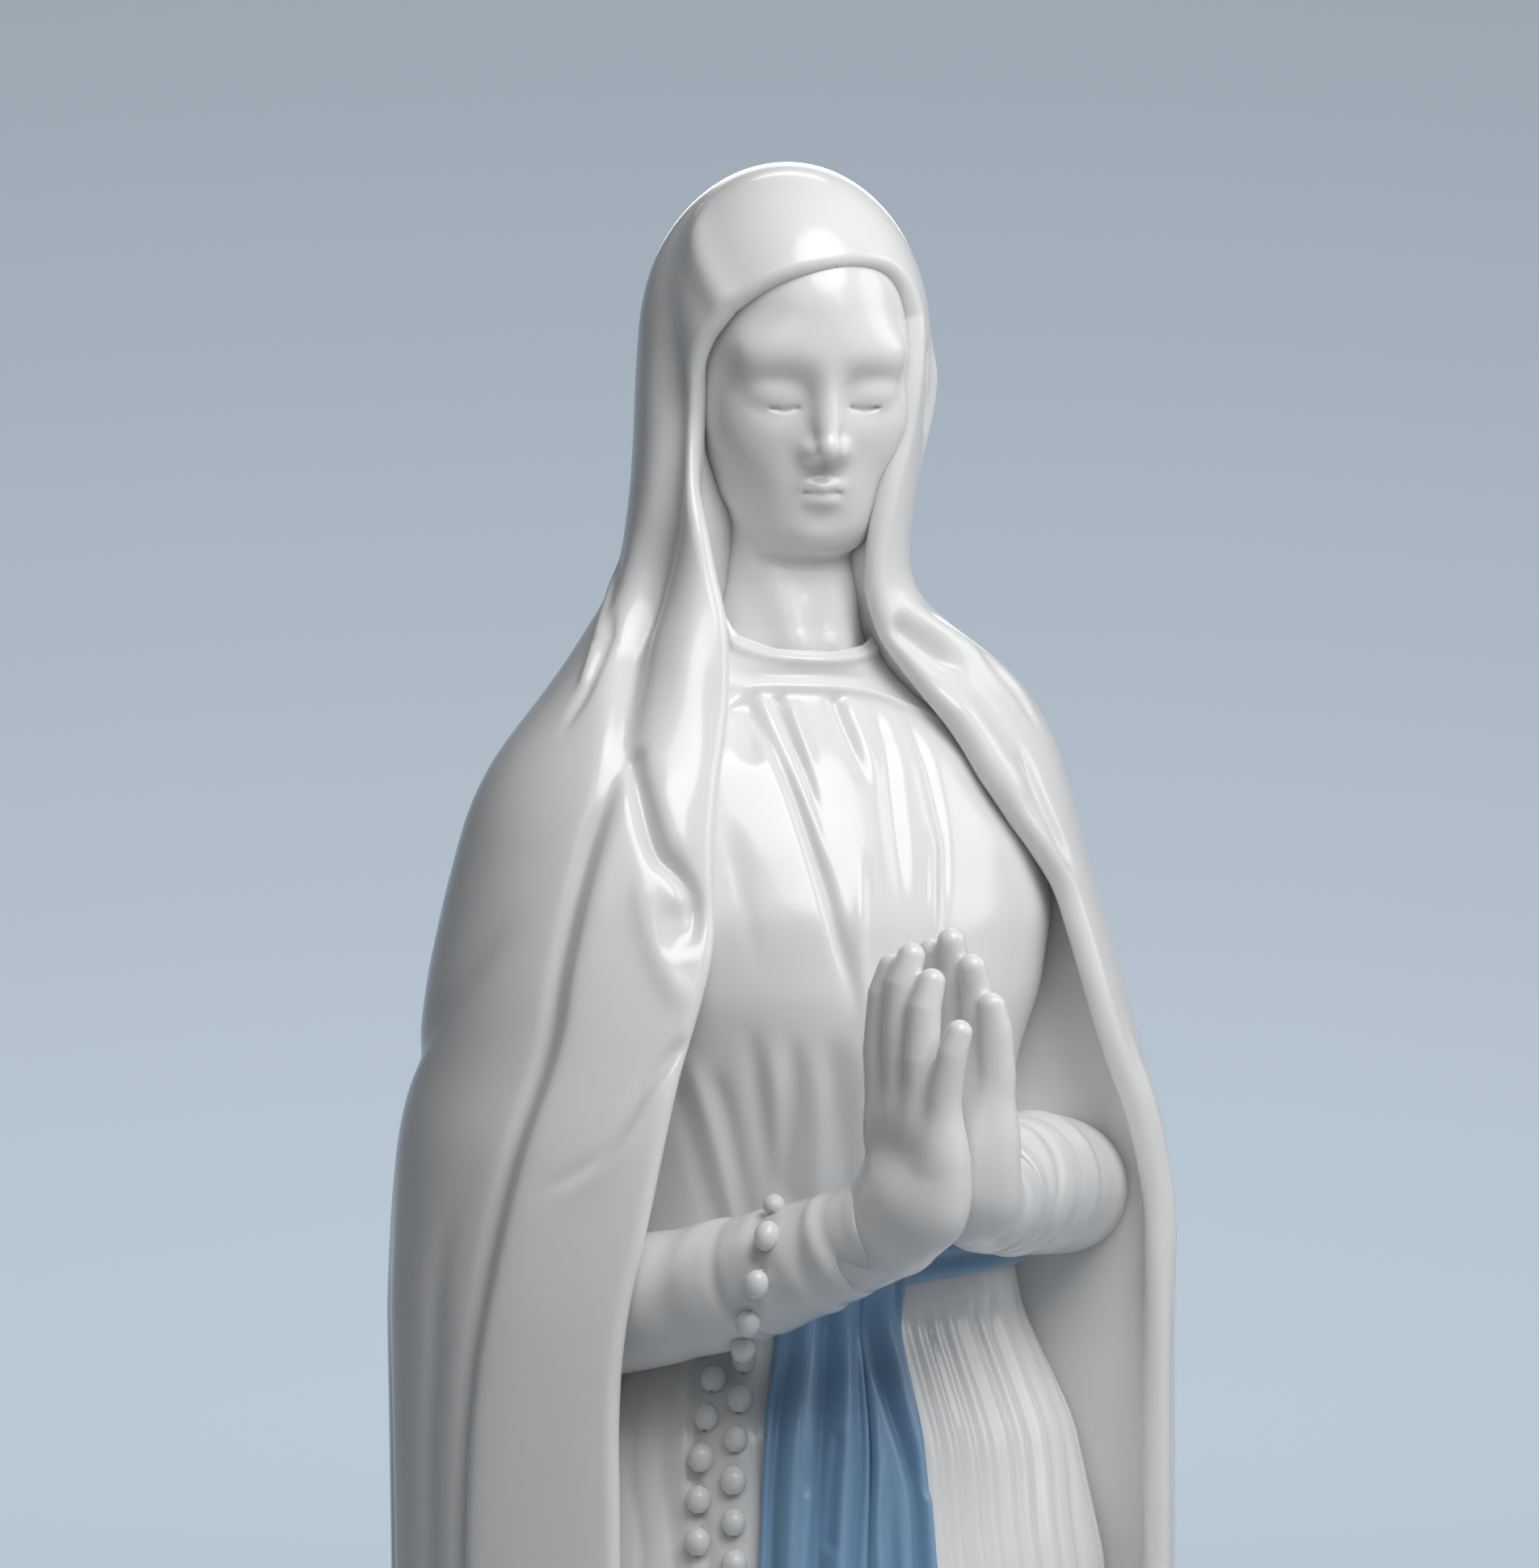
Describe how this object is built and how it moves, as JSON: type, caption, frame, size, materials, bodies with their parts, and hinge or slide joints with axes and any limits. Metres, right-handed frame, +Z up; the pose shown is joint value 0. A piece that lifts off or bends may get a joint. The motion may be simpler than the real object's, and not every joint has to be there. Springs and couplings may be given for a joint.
{
  "type": "praying madonna statue",
  "caption": "Standing veiled woman in glazed white porcelain, hands joined in prayer, blue sash and a rosary over the right forearm, on a low rock base.",
  "frame": {"origin": "middle of the figure's overall footprint, on the plane the base stands on", "axes": "+Z up, the figure faces -Y, +X is the figure's own left"},
  "size_m": [0.133, 0.1187, 0.4],
  "materials": {
    "white_glaze": "clear gloss glaze over white porcelain",
    "blue_glaze": "pale blue satin glaze over porcelain"
  },
  "bodies": {
    "root": {"base_rock": "white_glaze", "gown_skirt": "white_glaze", "gown_bodice": "white_glaze", "mantle": "white_glaze", "veil_hood": "white_glaze", "head": "white_glaze", "right_sleeve": "white_glaze", "left_sleeve": "white_glaze", "right_hand": "white_glaze", "left_hand": "white_glaze", "rosary_wrist_loop": "white_glaze", "rosary_strand_outer": "white_glaze", "rosary_strand_inner": "white_glaze", "rosary_medal": "white_glaze", "rosary_pendant": "white_glaze", "rosary_cross": "white_glaze", "right_foot": "white_glaze", "left_foot": "white_glaze", "right_rose": "white_glaze", "left_rose": "white_glaze", "sash_belt": "blue_glaze", "sash_tail_right": "blue_glaze", "sash_tail_left": "blue_glaze"}
  },
  "joints": []
}
